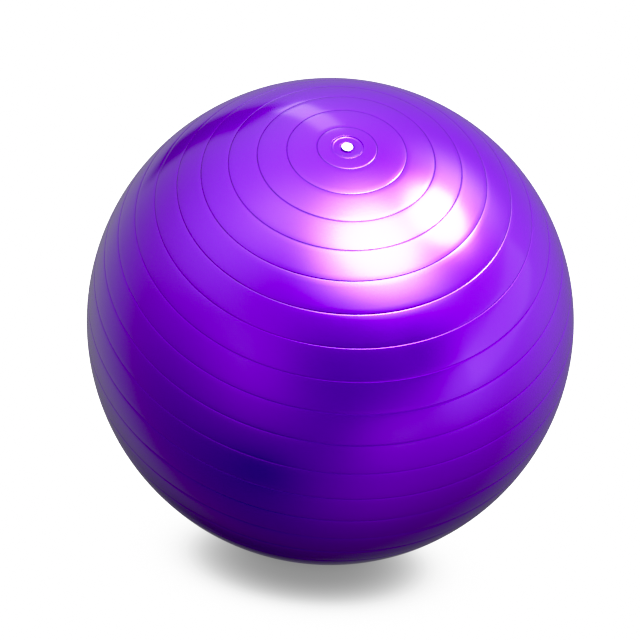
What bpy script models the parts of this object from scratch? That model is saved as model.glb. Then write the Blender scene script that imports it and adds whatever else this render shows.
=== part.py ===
"""Exercise ball: a one-piece vinyl skin, the collar bonded into its valve opening, and the plug pushed into the collar.

The valve's axis is +Z, and the ball stands on z = 0, on the flat that its own weight presses into its underside.
Each profile runs clockwise round a section in the XZ plane, down its outer side, and is turned about Z.
"""

import math

import bpy

# Ball, in metres
BALL_RADIUS = 0.325
WALL = 0.0007
PATCH_RADIUS = 0.027  # of the flat that the ball rests on
CENTRE_HEIGHT = math.sqrt(BALL_RADIUS**2 - PATCH_RADIUS**2)
GAP = 0.0003  # between pieces that touch

# Moulded rings: even on the mould, but closer together round the valve, where the thick skin stretches least
RING_STEPS = 24
RING_LAG = math.radians(2.6)
VALVE_LAG = math.radians(1.06)
GROOVE_WIDTH = 0.0026
GROOVE_DEPTH = 0.0004
GROOVE_BULGE = 0.0003  # how far the inner surface swells under a groove

# Valve collar: each drop is a depth below the ball's surface
COLLAR_RADIUS = 0.0208
RIM_DROP = 0.0006
DISH_DROP = 0.0016
WELL_RADIUS = 0.0094  # of the well that the plug's head sits in
WELL_DRAFT = 0.0003
SEAT_DROP = 0.0034
FLANGE_RADIUS = 0.0270  # of the part that lies under the skin
FLANGE_THICK = 0.0012
BOSS_RADIUS = 0.0115  # of the thick part under the well
BOSS_DEPTH = 0.0055
TUBE_RADIUS = 0.0085
TUBE_DEPTH = 0.0200
BORE_RADIUS = 0.0049
BORE_CHAMFER = 0.0006

# Valve plug: its neck holds the head clear of the seat, so that a nail or a tool can lift it
HEAD_RADIUS = 0.0072
HEAD_THICK = 0.0012
HEAD_EDGE = 0.0004
NECK_RADIUS = 0.0060
NECK_HEIGHT = 0.0020
STEM_LENGTH = 0.0220
STEM_RADIUS = 0.0042
TIP_RADIUS = 0.0036
TIP_CHAMFER = 0.0005
RIB_RADIUS = 0.0045
RIB_HALF_WIDTH = 0.0009
RIB_DEPTHS = (0.0070, 0.0120)
HOLLOW_RADIUS = 0.0019
HOLLOW_DEPTH = 0.0170

BALL_SEGMENTS = 40
PLUG_SEGMENTS = 32
POINTS_TOGETHER = 0.00001

VIOLET = (0.180, 0.003, 0.760)
DEEP_VIOLET = (0.165, 0.003, 0.700)
WHITE = (0.880, 0.880, 0.860)


def on_sphere(radius, angle):
    """The point of a section at this angle from the valve's axis, on a sphere about the ball's centre."""
    return (radius * math.sin(angle), radius * math.cos(angle))


def above(distance, radius):
    """The point of a section this far from the valve's axis, on the top of a sphere about the ball's centre."""
    return (distance, math.sqrt(radius**2 - distance**2))


def ring_angle(step):
    """The angle from the valve's axis to a moulded ring."""
    share = step / RING_STEPS
    lag = RING_LAG * math.sin(math.pi * share) + VALVE_LAG * math.sin(math.tau * share)
    return math.pi * share - lag


def skin_section():
    """Down the grooved outer surface from the valve opening to the floor, then back up the inner surface."""
    opening = math.asin((COLLAR_RADIUS + GAP) / BALL_RADIUS)
    rings = [ring_angle(step) for step in range(1, RING_STEPS)]
    bands = list(zip([opening] + rings, rings))
    half_groove = GROOVE_WIDTH / 2 / BALL_RADIUS

    section = [on_sphere(BALL_RADIUS, opening)]
    for last, ring in bands:
        section += [
            on_sphere(BALL_RADIUS, (last + ring) / 2),
            on_sphere(BALL_RADIUS, ring - half_groove),
            on_sphere(BALL_RADIUS - GROOVE_DEPTH, ring),
            on_sphere(BALL_RADIUS, ring + half_groove),
        ]
    section += [
        (PATCH_RADIUS, -CENTRE_HEIGHT),
        (0.0, -CENTRE_HEIGHT),
        (0.0, WALL - CENTRE_HEIGHT),
        (PATCH_RADIUS, WALL - CENTRE_HEIGHT),
    ]
    for last, ring in reversed(bands):
        section += [
            on_sphere(BALL_RADIUS - WALL - GROOVE_BULGE, ring),
            on_sphere(BALL_RADIUS - WALL, (last + ring) / 2),
        ]
    section.append(on_sphere(BALL_RADIUS - WALL, opening))
    return section


def collar_section():
    """Out of the bore and the well, over the dish, round the flange that lies under the skin, and down the tube."""
    seat = BALL_RADIUS - SEAT_DROP
    mid_dish = (WELL_RADIUS + COLLAR_RADIUS) / 2
    under_skin = BALL_RADIUS - WALL - GAP
    boss_end = BALL_RADIUS - BOSS_DEPTH
    tube_end = BALL_RADIUS - TUBE_DEPTH
    return [
        (BORE_RADIUS, seat - BORE_CHAMFER),
        (BORE_RADIUS + BORE_CHAMFER, seat),
        (WELL_RADIUS - WELL_DRAFT, seat),
        above(WELL_RADIUS, BALL_RADIUS - DISH_DROP),
        above(mid_dish, BALL_RADIUS - (DISH_DROP + RIM_DROP) / 2),
        above(COLLAR_RADIUS, BALL_RADIUS - RIM_DROP),
        above(COLLAR_RADIUS, under_skin),
        above(FLANGE_RADIUS, under_skin),
        above(FLANGE_RADIUS, under_skin - FLANGE_THICK),
        above(BOSS_RADIUS, under_skin - FLANGE_THICK),
        (BOSS_RADIUS, boss_end),
        (TUBE_RADIUS, boss_end),
        (TUBE_RADIUS, tube_end),
        (BORE_RADIUS, tube_end),
    ]


def plug_section():
    """Over the head, in to the neck, down the ribbed stem, and up its hollow core. Height 0 is the neck's underside."""
    top = NECK_HEIGHT + HEAD_THICK
    section = [
        (0.0, top),
        (HEAD_RADIUS - 2 * HEAD_EDGE, top - HEAD_EDGE / 4),
        (HEAD_RADIUS - HEAD_EDGE / 2, top - HEAD_EDGE),
        (HEAD_RADIUS, top - 2 * HEAD_EDGE),
        (HEAD_RADIUS, NECK_HEIGHT),
        (NECK_RADIUS, NECK_HEIGHT),
        (NECK_RADIUS, 0.0),
        (STEM_RADIUS, 0.0),
    ]
    for depth in RIB_DEPTHS:
        section += [
            (STEM_RADIUS, RIB_HALF_WIDTH - depth),
            (RIB_RADIUS, -depth),
            (STEM_RADIUS, -RIB_HALF_WIDTH - depth),
        ]
    section += [
        (TIP_RADIUS, TIP_CHAMFER - STEM_LENGTH),
        (TIP_RADIUS - TIP_CHAMFER, -STEM_LENGTH),
        (HOLLOW_RADIUS, -STEM_LENGTH),
        (HOLLOW_RADIUS, HOLLOW_DEPTH - STEM_LENGTH),
        (0.0, HOLLOW_DEPTH + HOLLOW_RADIUS - STEM_LENGTH),
    ]
    return section


def turned(name, section, segments):
    """The section turned about Z, without the edge that would join two points on the axis."""
    count = len(section)
    edges = [(i, (i + 1) % count) for i in range(count)]
    edges = [(i, j) for i, j in edges if section[i][0] > 0 or section[j][0] > 0]
    mesh = bpy.data.meshes.new(name)
    mesh.from_pydata([(x, 0.0, z) for x, z in section], edges, [])
    piece = bpy.data.objects.new(name, mesh)
    screw = piece.modifiers.new("turn", "SCREW")
    screw.axis = "Z"
    screw.angle = math.tau
    screw.steps = segments
    screw.render_steps = segments
    screw.use_merge_vertices = True
    screw.merge_threshold = POINTS_TOGETHER
    screw.use_smooth_shade = True
    return piece


def plastic(name, colour, roughness):
    """A Principled material for a moulded piece."""
    material = bpy.data.materials.new(name)
    material.use_nodes = True
    shader = material.node_tree.nodes["Principled BSDF"]
    shader.inputs["Base Color"].default_value = (*colour, 1.0)
    shader.inputs["Roughness"].default_value = roughness
    shader.inputs["Metallic"].default_value = 0.0
    material.diffuse_color = (*colour, 1.0)
    return material


def place(piece, material, collection, centre, height=0.0):
    """Puts a piece in the collection, this far above the ball's centre."""
    piece.data.materials.append(material)
    piece.parent = centre
    piece.location = (0.0, 0.0, height)
    collection.objects.link(piece)


def main():
    for old in list(bpy.data.objects):
        bpy.data.objects.remove(old)
    collection = bpy.data.collections.new("exercise_ball")
    bpy.context.scene.collection.children.link(collection)

    centre = bpy.data.objects.new("ball_centre", None)
    centre.location = (0.0, 0.0, CENTRE_HEIGHT)
    collection.objects.link(centre)

    skin = turned("ball_skin", skin_section(), BALL_SEGMENTS)
    place(skin, plastic("glossy_vinyl", VIOLET, 0.25), collection, centre)

    collar = turned("valve_collar", collar_section(), BALL_SEGMENTS)
    place(collar, plastic("collar_vinyl", DEEP_VIOLET, 0.30), collection, centre)

    plug = turned("valve_plug", plug_section(), PLUG_SEGMENTS)
    plug_height = BALL_RADIUS - SEAT_DROP + GAP
    place(plug, plastic("white_polyethylene", WHITE, 0.35), collection, centre, plug_height)


main()
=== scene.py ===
"""Looks for the exercise ball: a grooved skin, a dished valve collar and a white plug, in a pale studio."""

import math

import bpy
from mathutils import Matrix, Vector


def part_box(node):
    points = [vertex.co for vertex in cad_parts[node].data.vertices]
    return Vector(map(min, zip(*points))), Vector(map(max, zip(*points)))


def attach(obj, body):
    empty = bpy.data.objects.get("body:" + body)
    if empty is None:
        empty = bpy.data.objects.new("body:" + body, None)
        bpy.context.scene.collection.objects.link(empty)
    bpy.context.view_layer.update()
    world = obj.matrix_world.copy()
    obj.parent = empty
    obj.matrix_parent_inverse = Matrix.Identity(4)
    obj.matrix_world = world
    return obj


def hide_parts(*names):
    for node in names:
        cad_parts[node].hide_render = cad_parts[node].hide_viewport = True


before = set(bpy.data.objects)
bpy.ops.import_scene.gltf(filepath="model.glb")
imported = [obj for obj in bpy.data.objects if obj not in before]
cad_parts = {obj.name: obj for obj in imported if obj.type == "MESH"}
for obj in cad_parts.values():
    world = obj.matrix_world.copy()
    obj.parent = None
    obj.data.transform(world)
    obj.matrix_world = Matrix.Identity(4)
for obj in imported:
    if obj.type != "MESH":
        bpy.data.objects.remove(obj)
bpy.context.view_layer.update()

# Height of the plug's top, read from the frame. All sizes are in metres.
PLUG_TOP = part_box("valve_plug")[1].z

# The ball's section, as in the CAD model but with finer grooves
BALL_RADIUS = 0.325
WALL = 0.0007
PATCH_RADIUS = 0.027  # of the flat that the ball rests on
CENTRE_HEIGHT = math.sqrt(BALL_RADIUS**2 - PATCH_RADIUS**2)
GAP = 0.0003  # between pieces that touch
RING_STEPS = 24  # from the valve's axis to the underside
RING_LAG = math.radians(2.6)
VALVE_LAG = math.radians(1.06)
GROOVE_WIDTH = 0.0028  # between the outer ends of its rounded shoulders
GROOVE_DEPTH = 0.0003
GROOVE_BULGE = 0.0003  # how far the inner surface swells under a groove
GROOVE_CUTS = 10
LAND_CUTS = 5  # between two grooves
END_CUTS = 2  # between the last groove and the flat
PATCH_CUTS = 8
INNER_CUTS = 3  # between two swellings of the inner surface
LIP_RADIUS = 0.0005  # of the rounded lip at the valve opening

# Valve collar: each drop is a depth below the ball's surface
COLLAR_RADIUS = 0.0208
RIM_DROP = 0.0006
DISH_DROP = 0.0016
RIM_ROUND = 0.0003
BEAD_WIDTH = 0.0030  # of the raised bead round the collar's edge
BEAD_HEIGHT = 0.0005
WELL_RADIUS = 0.0094  # of the well that the plug's head sits in
WELL_ROUND = 0.0006
SEAT_DROP = 0.0034
FLANGE_RADIUS = 0.0270  # of the part that lies under the skin
FLANGE_THICK = 0.0012
BOSS_RADIUS = 0.0115  # of the thick part under the well
BOSS_DEPTH = 0.0055
TUBE_RADIUS = 0.0085
TUBE_DEPTH = 0.0200
BORE_RADIUS = 0.0049
BORE_ROUND = 0.0006
DISH_CUTS = 16
DISH_POWER = 1.6  # above 1, the dish steepens towards its rim

# Valve plug
HEAD_RADIUS = 0.0072
HEAD_THICK = 0.0012
HEAD_ROUND = 0.0004
HEAD_CROWN = 0.0002  # how much higher its middle is than its edge
HEAD_CUTS = 16
NECK_RADIUS = 0.0060
NECK_HEIGHT = 0.0020
STEM_LENGTH = 0.0220
STEM_RADIUS = 0.0042
TIP_RADIUS = 0.0036
TIP_ROUND = 0.0005
RIB_RADIUS = 0.0045
RIB_HALF_WIDTH = 0.0009
RIB_DEPTHS = (0.0070, 0.0120)
HOLLOW_RADIUS = 0.0019
HOLLOW_DEPTH = 0.0170

ARC_CUTS = 6
SHARP_EDGE = math.radians(50)
ON_AXIS = 1e-9

# The skin has stretched unevenly, so its rings lean, most of all just below the widest circle
LEAN = math.radians(3.2)
LEAN_TOWARDS = 70  # degrees round from the camera's side, to the right
LEAN_START = math.radians(35)  # from the valve's axis
LEAN_END = math.pi - math.asin(PATCH_RADIUS / BALL_RADIUS)

# Painted shade in the grooves, by how far up the skin faces: 1 at the valve and 0 at the widest circle
GROOVE_SHADE_END = 0.45
GROOVE_SHADE_FULL = 0.75

SKIN_SEGMENTS = 192
VALVE_SEGMENTS = 96

# Colours: each vinyl drifts between two shades of violet
SKIN_SHADES = ((0.122, 0.001, 0.416), (0.130, 0.001, 0.443))
COLLAR_SHADES = ((0.119, 0.001, 0.405), (0.126, 0.001, 0.432))
WHITE_SHADES = ((0.86, 0.86, 0.84), (0.92, 0.92, 0.90))
# Painted shade: the dark colour mixed into the bottoms of the upper grooves
GROOVE_SHADE = (0.034, 0.017, 0.045)

# Vinyl: pearl pigment under a clear gloss
PEARL = 0.7  # how metallic the pigment is
PEARL_BLUR = 0.23  # roughness, give or take PEARL_DRIFT
PEARL_DRIFT = 0.02
GLOSS_BLUR = 0.12
GLOSS_IOR = 1.6
GROOVE_GLOSS = 0.4  # left at the bottom of a groove

# Camera: the photograph's angle, far off through a long lens, and rolled a little
CAMERA_ELEVATION = math.radians(45.94)
CAMERA_ROLL = math.radians(5.45)
CAMERA_DISTANCE = 19.76 * BALL_RADIUS
CAMERA_LENS = 270.6
AIM_RIGHT = -0.0137  # of the ball's centre, in the picture
AIM_UP = 0.0018
CAMERA_REACH = 100

# Floor, and the shadows on it: what light they keep in their middle, and how far out they reach
FLOOR_HALF = 12.0
FLOOR_DROP = 0.0002
CONTACT_REACH = 0.17
CONTACT_KEEPS = 0.10
THROWN_CENTRE = (0, -0.14, 0)
THROWN_STRETCH = 2.0
THROWN_REACH = 0.13
THROWN_KEEPS = 0.14

# Photographic tone: even up to the shoulder, then easing off towards white
BLACK_LEVEL = 0.06
SHOULDER = 0.75
WHITE_LEVEL = 2.0
SHOULDER_CUTS = 8


# ---------------------------------------------------------------- shapes


def on_sphere(radius, angle):
    """A section's point at this angle from the valve's axis, on a sphere about the ball's centre."""
    return (radius * math.sin(angle), CENTRE_HEIGHT + radius * math.cos(angle))


def above(distance, radius):
    """A section's point this far from the valve's axis, on the top of a sphere about the ball's centre."""
    return (distance, CENTRE_HEIGHT + math.sqrt(radius**2 - distance**2))


def arc(centre, radius, start, end):
    """Points of a section along an arc. Angles are in degrees, from +X towards +Z."""
    points = []
    for i in range(ARC_CUTS + 1):
        angle = math.radians(start + (end - start) * i / ARC_CUTS)
        points.append((centre[0] + radius * math.cos(angle), centre[1] + radius * math.sin(angle)))
    return points


def spread(start, end, count):
    """count numbers evenly between start and end, without the two ends."""
    return [start + (end - start) * (i + 1) / (count + 1) for i in range(count)]


def ring_angle(step):
    """The angle from the valve's axis to a moulded ring, by the CAD model's rule."""
    share = step / RING_STEPS
    lag = RING_LAG * math.sin(math.pi * share) + VALVE_LAG * math.sin(math.tau * share)
    return math.pi * share - lag


def groove(ring):
    """Points across one groove: a smooth trough with rounded shoulders."""
    points = []
    for i in range(GROOVE_CUTS + 1):
        share = i / GROOVE_CUTS - 0.5
        depth = GROOVE_DEPTH * (1 + math.cos(math.tau * share)) / 2
        points.append(on_sphere(BALL_RADIUS - depth, ring + share * GROOVE_WIDTH / BALL_RADIUS))
    return points


def skin_section():
    """Down the grooved outer surface from the valve opening to the floor, and back up the inner surface."""
    opening = math.asin((COLLAR_RADIUS + GAP) / BALL_RADIUS)
    lip = LIP_RADIUS / BALL_RADIUS
    rings = [ring_angle(step) for step in range(1, RING_STEPS)]
    half_groove = GROOVE_WIDTH / 2 / BALL_RADIUS
    patch = math.pi - math.asin(PATCH_RADIUS / BALL_RADIUS)

    lip_centre = on_sphere(BALL_RADIUS - LIP_RADIUS, opening + lip)
    section = arc(lip_centre, LIP_RADIUS, 180, 90)
    last = opening + lip
    for ring in rings:
        lands = spread(last, ring - half_groove, LAND_CUTS)
        section += [on_sphere(BALL_RADIUS, angle) for angle in lands] + groove(ring)
        last = ring + half_groove
    section += [on_sphere(BALL_RADIUS, angle) for angle in spread(last, patch, END_CUTS)]
    section += [(PATCH_RADIUS * (1 - i / PATCH_CUTS), 0.0) for i in range(PATCH_CUTS + 1)]
    section += [(PATCH_RADIUS * i / PATCH_CUTS, WALL) for i in range(PATCH_CUTS + 1)]
    for before, ring in reversed(list(zip([opening] + rings, rings))):
        section.append(on_sphere(BALL_RADIUS - WALL - GROOVE_BULGE, ring))
        section += [on_sphere(BALL_RADIUS - WALL, angle) for angle in spread(ring, before, INNER_CUTS)]
    section.append(on_sphere(BALL_RADIUS - WALL, opening))
    return section


def bead(distance):
    """The height of the collar's raised edge, this far from the valve's axis."""
    share = (distance - (COLLAR_RADIUS - RIM_ROUND - BEAD_WIDTH / 2)) / BEAD_WIDTH
    return BEAD_HEIGHT * (1 + math.cos(math.tau * share)) / 2 if abs(share) < 0.5 else 0.0


def dish():
    """Points over the collar's face, from the well's brim out to the bead at its edge."""
    start, end = WELL_RADIUS + WELL_ROUND, COLLAR_RADIUS - RIM_ROUND
    points = []
    for i in range(DISH_CUTS):
        distance = start + (end - start) * i / DISH_CUTS
        rise = (DISH_DROP - RIM_DROP) * (i / DISH_CUTS) ** DISH_POWER
        points.append(above(distance, BALL_RADIUS - DISH_DROP + rise + bead(distance)))
    return points


def collar_section():
    """Out of the bore and the well, over the dish, round the flange under the skin, and down the tube."""
    top = CENTRE_HEIGHT + BALL_RADIUS
    seat = top - SEAT_DROP
    under_skin = BALL_RADIUS - WALL - GAP
    section = arc((BORE_RADIUS + BORE_ROUND, seat - BORE_ROUND), BORE_ROUND, 180, 90)
    section += arc((WELL_RADIUS - WELL_ROUND, seat + WELL_ROUND), WELL_ROUND, -90, 0)
    brim = above(WELL_RADIUS + WELL_ROUND, BALL_RADIUS - DISH_DROP - WELL_ROUND)
    section += arc(brim, WELL_ROUND, 180, 90)[:-1]
    section += dish()
    rim = above(COLLAR_RADIUS - RIM_ROUND, BALL_RADIUS - RIM_DROP - RIM_ROUND)
    section += arc(rim, RIM_ROUND, 90, 0)
    section += [
        above(COLLAR_RADIUS, under_skin),
        above(FLANGE_RADIUS, under_skin),
        above(FLANGE_RADIUS, under_skin - FLANGE_THICK),
        above(BOSS_RADIUS, under_skin - FLANGE_THICK),
        (BOSS_RADIUS, top - BOSS_DEPTH),
        (TUBE_RADIUS, top - BOSS_DEPTH),
    ]
    section += arc((TUBE_RADIUS - BORE_ROUND, top - TUBE_DEPTH + BORE_ROUND), BORE_ROUND, 0, -90)
    section += arc((BORE_RADIUS + BORE_ROUND, top - TUBE_DEPTH + BORE_ROUND), BORE_ROUND, -90, -180)
    return section


def plug_section():
    """Over the crowned head, in to the neck, down the ribbed stem and up its hollow core."""
    under = PLUG_TOP - HEAD_THICK
    base = under - NECK_HEIGHT
    section = []
    for i in range(HEAD_CUTS + 1):
        distance = (HEAD_RADIUS - HEAD_ROUND) * i / HEAD_CUTS
        section.append((distance, PLUG_TOP - HEAD_CROWN * (i / HEAD_CUTS) ** 2))
    rim_top = PLUG_TOP - HEAD_CROWN - HEAD_ROUND
    section += arc((HEAD_RADIUS - HEAD_ROUND, rim_top), HEAD_ROUND, 90, 0)[1:]
    section += arc((HEAD_RADIUS - HEAD_ROUND, under + HEAD_ROUND), HEAD_ROUND, 0, -90)
    section += [(NECK_RADIUS, under), (NECK_RADIUS, base), (STEM_RADIUS, base)]
    for depth in RIB_DEPTHS:
        for i in range(ARC_CUTS + 1):
            share = i / ARC_CUTS - 0.5
            swell = (RIB_RADIUS - STEM_RADIUS) * (1 + math.cos(math.tau * share)) / 2
            section.append((STEM_RADIUS + swell, base - depth - 2 * RIB_HALF_WIDTH * share))
    tip = base - STEM_LENGTH
    section += arc((TIP_RADIUS - TIP_ROUND, tip + TIP_ROUND), TIP_ROUND, 0, -90)
    section += [
        (HOLLOW_RADIUS, tip),
        (HOLLOW_RADIUS, tip + HOLLOW_DEPTH),
        (0.0, tip + HOLLOW_DEPTH + HOLLOW_RADIUS),
    ]
    return section


def turned(name, section, segments):
    """A closed, smooth-shaded mesh of the section turned about the valve's axis."""
    vertices, rows = [], []
    for distance, height in section:
        row = []
        for i in range(segments if distance > ON_AXIS else 1):
            angle = math.tau * i / segments
            row.append(len(vertices))
            vertices.append((distance * math.sin(angle), -distance * math.cos(angle), height))
        rows.append(row)
    faces = []
    for upper, lower in zip(rows, rows[1:] + rows[:1]):
        for i in range(segments):
            j = (i + 1) % segments
            corners = [(upper, i), (lower, i), (lower, j), (upper, j)]
            corners = list(dict.fromkeys(row[k % len(row)] for row, k in corners))
            if len(corners) > 2:
                faces.append(corners)
    mesh = bpy.data.meshes.new(name)
    mesh.from_pydata(vertices, [], faces)
    mesh.validate()
    mesh.shade_smooth()
    mesh.set_sharp_from_angle(angle=SHARP_EDGE)
    piece = bpy.data.objects.new(name, mesh)
    bpy.context.scene.collection.objects.link(piece)
    return piece


def direction(azimuth, elevation):
    """A unit vector. Azimuth 0 is the camera's side and 90 is +X, in degrees."""
    azimuth, elevation = math.radians(azimuth), math.radians(elevation)
    level = math.cos(elevation)
    return Vector((level * math.sin(azimuth), -level * math.cos(azimuth), math.sin(elevation)))


def lean_rings(piece):
    """Turns the skin's points about the ball's centre, so that its rings lean and it stays a sphere."""
    centre = Vector((0, 0, CENTRE_HEIGHT))
    hinge = Vector((0, 0, 1)).cross(direction(LEAN_TOWARDS, 0))
    for vertex in piece.data.vertices:
        out = vertex.co - centre
        share = (math.acos(out.z / out.length) - LEAN_START) / (LEAN_END - LEAN_START)
        if 0 < share < 1:
            vertex.co = centre + Matrix.Rotation(LEAN * math.sin(math.pi * share), 3, hinge) @ out


def mark_grooves(piece):
    """Marks how deep in an outer groove each point lies, and how much painted shade its colour takes there,
    from 0 to 1.
    """
    depths = piece.data.attributes.new("groove", "FLOAT", "POINT")
    # painted shade, deepest in the grooves near the valve
    groove_shades = piece.data.attributes.new("painted_groove_shade", "FLOAT", "POINT")
    centre = Vector((0, 0, CENTRE_HEIGHT))
    lip_end = COLLAR_RADIUS + GAP + 2 * LIP_RADIUS
    for i, vertex in enumerate(piece.data.vertices):
        out = vertex.co - centre
        depth = (BALL_RADIUS - out.length) / GROOVE_DEPTH
        upward = (out.z / out.length - GROOVE_SHADE_END) / (GROOVE_SHADE_FULL - GROOVE_SHADE_END)
        clear_of_lip = math.hypot(out.x, out.y) > lip_end
        clear_of_floor = vertex.co.z > WALL / 2
        if clear_of_lip and clear_of_floor:
            depths.data[i].value = min(max(depth, 0.0), 1.0)
            groove_shades.data[i].value = depths.data[i].value * min(max(upward, 0.0), 1.0)


# ---------------------------------------------------------------- materials


class Nodes:
    """Short calls for building a node tree."""

    def __init__(self, tree):
        self.tree = tree

    def add(self, kind, inputs=None, **settings):
        node = self.tree.nodes.new(kind)
        for key, value in settings.items():
            setattr(node, key, value)
        for key, value in (inputs or {}).items():
            self.set(node.inputs[key], value)
        return node

    def set(self, socket, value):
        if isinstance(value, bpy.types.NodeSocket):
            self.tree.links.new(value, socket)
        else:
            socket.default_value = value

    def math(self, operation, *values):
        return self.add("ShaderNodeMath", dict(enumerate(values)), operation=operation).outputs[0]

    def noise(self, scale, detail):
        place = self.add("ShaderNodeTexCoord").outputs["Object"]
        settings = {"Vector": place, "Scale": scale, "Detail": detail}
        return self.add("ShaderNodeTexNoise", settings).outputs[0]

    def remap(self, value, low, high, to_low, to_high, shape="LINEAR"):
        settings = {"Value": value, "From Min": low, "From Max": high, "To Min": to_low, "To Max": to_high}
        return self.add("ShaderNodeMapRange", settings, interpolation_type=shape).outputs[0]

    def vector_math(self, operation, first, second):
        return self.add("ShaderNodeVectorMath", {0: first, 1: second}, operation=operation)

    def dot(self, first, second):
        return self.vector_math("DOT_PRODUCT", first, second).outputs["Value"]

    def mix(self, share, first, second):
        """Between two colours, whose sockets are numbered because a Mix node repeats their names."""
        node = self.add("ShaderNodeMix", data_type="RGBA")
        self.set(node.inputs[0], share)
        self.set(node.inputs[6], first)
        self.set(node.inputs[7], second)
        return node.outputs[2]

    def attribute(self, name):
        return self.add("ShaderNodeAttribute", attribute_name=name).outputs["Fac"]

    def bump(self, height, strength, distance, normal=None):
        settings = {"Height": height, "Strength": strength, "Distance": distance}
        if normal:
            settings["Normal"] = normal
        return self.add("ShaderNodeBump", settings).outputs[0]


class Surface(Nodes):
    """A new material and its Principled shader."""

    def __init__(self, name):
        self.material = bpy.data.materials.new(name)
        self.material.use_nodes = True
        super().__init__(self.material.node_tree)
        self.shader = self.tree.nodes["Principled BSDF"]

    def principled(self, **inputs):
        for key, value in inputs.items():
            self.set(self.shader.inputs[key.replace("_", " ")], value)


def vinyl(name, shades):
    """Pearl vinyl with a drift of colour and a faint orange peel. Its grooves are less glossy, and the upper
    ones are darkened with painted shade.
    """
    deep, bright = shades
    surface = Surface(name)
    drift = surface.remap(surface.noise(5.0, detail=4.0), 0.35, 0.65, 0.0, 1.0)
    clean = surface.mix(drift, (*deep, 1), (*bright, 1))
    # Painted shade, in patches, darkens the colour of the upper grooves
    patchy = surface.remap(surface.noise(60.0, detail=4.0), 0.35, 0.65, 0.45, 0.75)
    groove_shade_share = surface.math("MULTIPLY", surface.attribute("painted_groove_shade"), patchy)
    dull, sleek = PEARL_BLUR + PEARL_DRIFT, PEARL_BLUR - PEARL_DRIFT
    blur = surface.remap(surface.noise(14.0, detail=5.0), 0.3, 0.7, sleek, dull)
    peel = surface.bump(surface.noise(900.0, detail=2.0), 0.05, 0.0002)
    ripple = surface.bump(surface.noise(26.0, detail=2.0), 0.06, 0.0008, peel)
    surface.principled(
        Base_Color=surface.mix(groove_shade_share, clean, (*GROOVE_SHADE, 1)),
        Roughness=blur,
        Metallic=PEARL,
        Specular_IOR_Level=0.0,
        Coat_Weight=surface.remap(surface.attribute("groove"), 0.0, 1.0, 1.0, GROOVE_GLOSS),
        Coat_Roughness=GLOSS_BLUR,
        Coat_IOR=GLOSS_IOR,
        Normal=ripple,
    )
    return surface.material


def polyethylene(name, shades):
    """White plug plastic: slightly soft, waxy and a little rough."""
    grey, white = shades
    surface = Surface(name)
    tone = surface.remap(surface.noise(160.0, detail=3.0), 0.3, 0.7, 0.0, 1.0)
    grain = surface.bump(surface.noise(2200.0, detail=2.0), 0.15, 0.00005)
    surface.principled(
        Base_Color=surface.mix(tone, (*grey, 1), (*white, 1)),
        Roughness=surface.remap(tone, 0.0, 1.0, 0.30, 0.38),
        IOR=1.5,
        Subsurface_Weight=0.15,
        Subsurface_Scale=0.002,
        Normal=grain,
    )
    return surface.material


# ---------------------------------------------------------------- pieces


def dress(piece, material, body, node):
    """Gives a fine piece its material and body, and hides the CAD node that it stands for."""
    piece.data.materials.append(material)
    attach(piece, body)
    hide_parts(node)


def make_skin():
    skin = turned("skin_shell", skin_section(), SKIN_SEGMENTS)
    lean_rings(skin)
    mark_grooves(skin)
    dress(skin, vinyl("glossy_vinyl", SKIN_SHADES), "ball", "ball_skin")


def make_collar():
    collar = turned("collar_dish", collar_section(), VALVE_SEGMENTS)
    dress(collar, vinyl("collar_vinyl", COLLAR_SHADES), "ball", "valve_collar")


def make_plug():
    plug = turned("plug_stopper", plug_section(), VALVE_SEGMENTS)
    plastic = polyethylene("white_polyethylene", WHITE_SHADES)
    dress(plug, plastic, "plug", "valve_plug")


# ---------------------------------------------------------------- studio


def make_camera():
    """Looks at the ball from the front and above, a little off centre and rolled anticlockwise."""
    data = bpy.data.cameras.new("camera")
    data.lens = CAMERA_LENS
    data.clip_end = CAMERA_REACH
    camera = bpy.data.objects.new("camera", data)
    bpy.context.scene.collection.objects.link(camera)
    back = Vector((0, -math.cos(CAMERA_ELEVATION), math.sin(CAMERA_ELEVATION)))
    turn = back.to_track_quat("Z", "Y").to_matrix() @ Matrix.Rotation(CAMERA_ROLL, 3, "Z")
    centre = Vector((0, 0, CENTRE_HEIGHT))
    aim = centre + turn @ Vector((AIM_RIGHT, AIM_UP, 0))
    camera.matrix_world = Matrix.Translation(aim + back * CAMERA_DISTANCE) @ turn.to_4x4()
    bpy.context.scene.camera = camera


def shadow(surface, centre, stretch, reach, kept):
    """A soft patch, drawn out sideways, which keeps this share of the light in its middle."""
    place = surface.add("ShaderNodeTexCoord").outputs["Object"]
    away = surface.vector_math("SUBTRACT", place, centre).outputs[0]
    away = surface.vector_math("MULTIPLY", away, (1 / stretch, 1, 0)).outputs[0]
    return surface.remap(surface.dot(away, away), 0.0, reach**2, kept, 1.0, "SMOOTHSTEP")


def pale_floor():
    """Glows evenly, but less round the contact patch and in the oval shadow in front of the ball."""
    surface = Surface("pale_floor")
    contact = shadow(surface, (0, 0, 0), 1.0, CONTACT_REACH, CONTACT_KEEPS)
    thrown = shadow(surface, THROWN_CENTRE, THROWN_STRETCH, THROWN_REACH, THROWN_KEEPS)
    lit = surface.math("MULTIPLY", contact, thrown)
    surface.principled(
        Base_Color=(0, 0, 0, 1),
        Specular_IOR_Level=0.0,
        Emission_Color=(1, 1, 1, 1),
        Emission_Strength=surface.math("MULTIPLY_ADD", lit, WHITE_LEVEL, BLACK_LEVEL),
    )
    return surface.material


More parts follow.
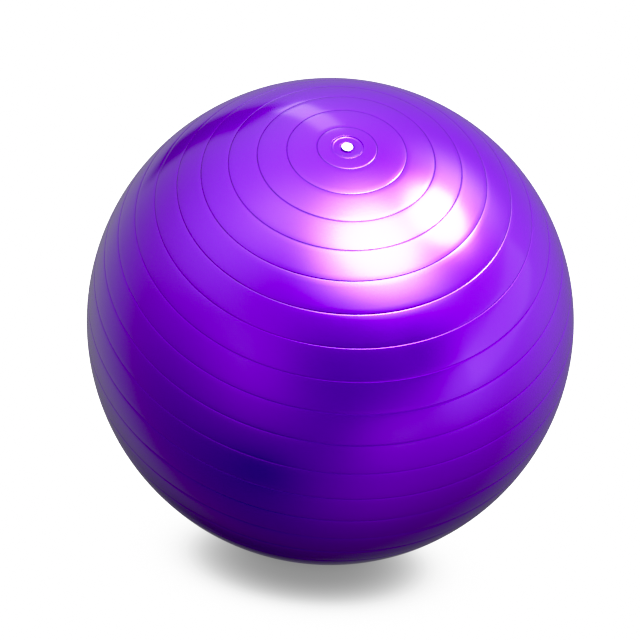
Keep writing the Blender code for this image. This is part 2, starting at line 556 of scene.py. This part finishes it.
def make_floor():
    """A pale floor just under the ball. Only the camera sees it: the photographed ball mirrors no floor."""
    mesh = bpy.data.meshes.new("studio_floor")
    signs = [(-1, -1), (1, -1), (1, 1), (-1, 1)]
    corners = [(x * FLOOR_HALF, y * FLOOR_HALF, -FLOOR_DROP) for x, y in signs]
    mesh.from_pydata(corners, [], [(0, 1, 2, 3)])
    floor = bpy.data.objects.new("studio_floor", mesh)
    bpy.context.scene.collection.objects.link(floor)
    mesh.materials.append(pale_floor())
    floor.visible_diffuse = False
    floor.visible_glossy = False
    floor.visible_transmission = False
    floor.visible_shadow = False


class Surroundings(Nodes):
    """The studio's light, as soft glows and panels in a dark room. The camera sees plain white instead.

    Directions and sizes are in degrees. Azimuth 0 is the camera's side, and 90 is the picture's right.
    """

    def __init__(self, fill):
        world = bpy.data.worlds.new("studio_world")
        bpy.context.scene.world = world
        world.use_nodes = True
        super().__init__(world.node_tree)
        self.view = self.add("ShaderNodeTexCoord").outputs["Generated"]
        self.light = fill

    def along(self, axis):
        """How far a unit step along the view goes along this axis."""
        return self.dot(self.view, axis)

    def spot(self, azimuth, elevation, width):
        """1 in this direction, fading to a half this many degrees from it."""
        sharp = math.log(2) / (1 - math.cos(math.radians(width)))
        near = self.along(direction(azimuth, elevation))
        fall = self.math("MULTIPLY", self.math("SUBTRACT", near, 1.0), sharp)
        return self.math("EXPONENT", fall)

    def glow(self, azimuth, elevation, width, strength):
        """A soft round light."""
        self.light = self.math("MULTIPLY_ADD", self.spot(azimuth, elevation, width), strength, self.light)

    def shade(self, azimuth, elevation, width, share):
        """Something dark in the room, which takes this share of the light so far."""
        kept = self.math("MULTIPLY_ADD", self.spot(azimuth, elevation, width), -share, 1.0)
        self.light = self.math("MULTIPLY", self.light, kept)

    def oblong(self, azimuth, elevation, width, height, lean, edge):
        """1 inside a soft-edged oblong and 0 outside. Its top leans left, for someone who faces the ball."""
        towards = direction(azimuth, elevation)
        tilt = Matrix.Rotation(math.radians(lean), 3, towards)
        right = Vector((0, 0, 1)).cross(towards).normalized()
        up = towards.cross(right)
        inside = self.math("GREATER_THAN", self.along(towards), 0.0)
        for axis, size in ((tilt @ right, width), (tilt @ up, height)):
            off = self.math("ABSOLUTE", self.math("DIVIDE", self.along(axis), self.along(towards)))
            outer = math.tan(math.radians((size + edge) / 2))
            inner = math.tan(math.radians((size - edge) / 2))
            inside = self.math("MULTIPLY", inside, self.remap(off, outer, inner, 0.0, 1.0))
        return inside

    def panel(self, azimuth, elevation, width, height, strength, lean, edge):
        """A bright oblong."""
        inside = self.oblong(azimuth, elevation, width, height, lean, edge)
        self.light = self.math("MULTIPLY_ADD", inside, strength, self.light)

    def screen(self, azimuth, elevation, width, height, share, lean, edge):
        """A dark oblong, which takes this share of the light so far."""
        inside = self.oblong(azimuth, elevation, width, height, lean, edge)
        self.light = self.math("MULTIPLY", self.light, self.math("MULTIPLY_ADD", inside, -share, 1.0))

    def finish(self):
        """Lights the world, and shows the camera the same white as the floor."""
        camera = self.add("ShaderNodeLightPath").outputs["Is Camera Ray"]
        settings = {"Value": camera, "To Min": self.light, "To Max": WHITE_LEVEL + BLACK_LEVEL}
        strength = self.add("ShaderNodeMapRange", settings).outputs[0]
        background = self.tree.nodes["Background"]
        background.inputs["Color"].default_value = (1, 1, 1, 1)
        self.set(background.inputs["Strength"], strength)


def make_world():
    """The room, as the photographed ball mirrors it. Later calls add to the earlier ones or darken them."""
    room = Surroundings(fill=0.0005)

    # The two lamps, and the soft glow under the first
    room.glow(120, 45, width=8, strength=67)
    room.glow(136, 29, width=11, strength=3.9)
    room.glow(72, 72, width=16.5, strength=35)

    # Dim walls: high on the left, left, behind, and low on the left
    room.glow(-109, 68, width=15, strength=1.65)
    room.glow(-94, 44, width=32, strength=1.3)
    room.glow(-171, 39, width=28, strength=1.1)
    room.glow(-112, -27, width=51, strength=0.56)

    # Dim patches in front, on the right, and low in front
    room.glow(62, 5, width=18, strength=1.0)
    room.glow(29, -6, width=14, strength=0.8)
    room.glow(-31, 16, width=24, strength=0.95)
    room.glow(102, 6, width=36, strength=0.97)
    room.glow(31, -36, width=29, strength=0.64)

    # Dark things: in front, low in front, low behind, in front again, and an oblong one behind
    room.shade(15, 26, width=24, share=0.98)
    room.shade(-22, -31, width=12, share=0.5)
    room.shade(-158, -68, width=17, share=0.65)
    room.shade(48, 25, width=13, share=0.98)
    room.screen(-155, -5, width=15, height=30, share=0.71, lean=20, edge=5)

    # The window behind, and a wide pale panel on the right
    room.panel(-170, 20, width=7.4, height=26.6, strength=1.5, lean=16.5, edge=2)
    room.panel(95, 4, width=55, height=17, strength=0.32, lean=0, edge=3)
    room.finish()


def make_tone():
    """Deep blacks and a soft shoulder, so that the highlight pales instead of clipping colour by colour."""
    view = bpy.context.scene.view_settings
    view.view_transform = "Standard"
    view.use_curve_mapping = True
    mapping = view.curve_mapping
    mapping.black_level = (BLACK_LEVEL,) * 3
    mapping.white_level = (BLACK_LEVEL + WHITE_LEVEL,) * 3
    curve = mapping.curves[3]  # red, green and blue together
    headroom = 1 - SHOULDER
    for i in range(SHOULDER_CUTS):
        light = SHOULDER + (WHITE_LEVEL - SHOULDER) * i / SHOULDER_CUTS
        shown = SHOULDER + headroom * (1 - math.exp((SHOULDER - light) / headroom))
        curve.points.new(light / WHITE_LEVEL, shown)
    for point in curve.points:
        point.handle_type = "VECTOR"
    mapping.update()


def make_studio():
    make_camera()
    make_floor()
    make_world()
    make_tone()


make_studio()
make_skin()
make_collar()
make_plug()
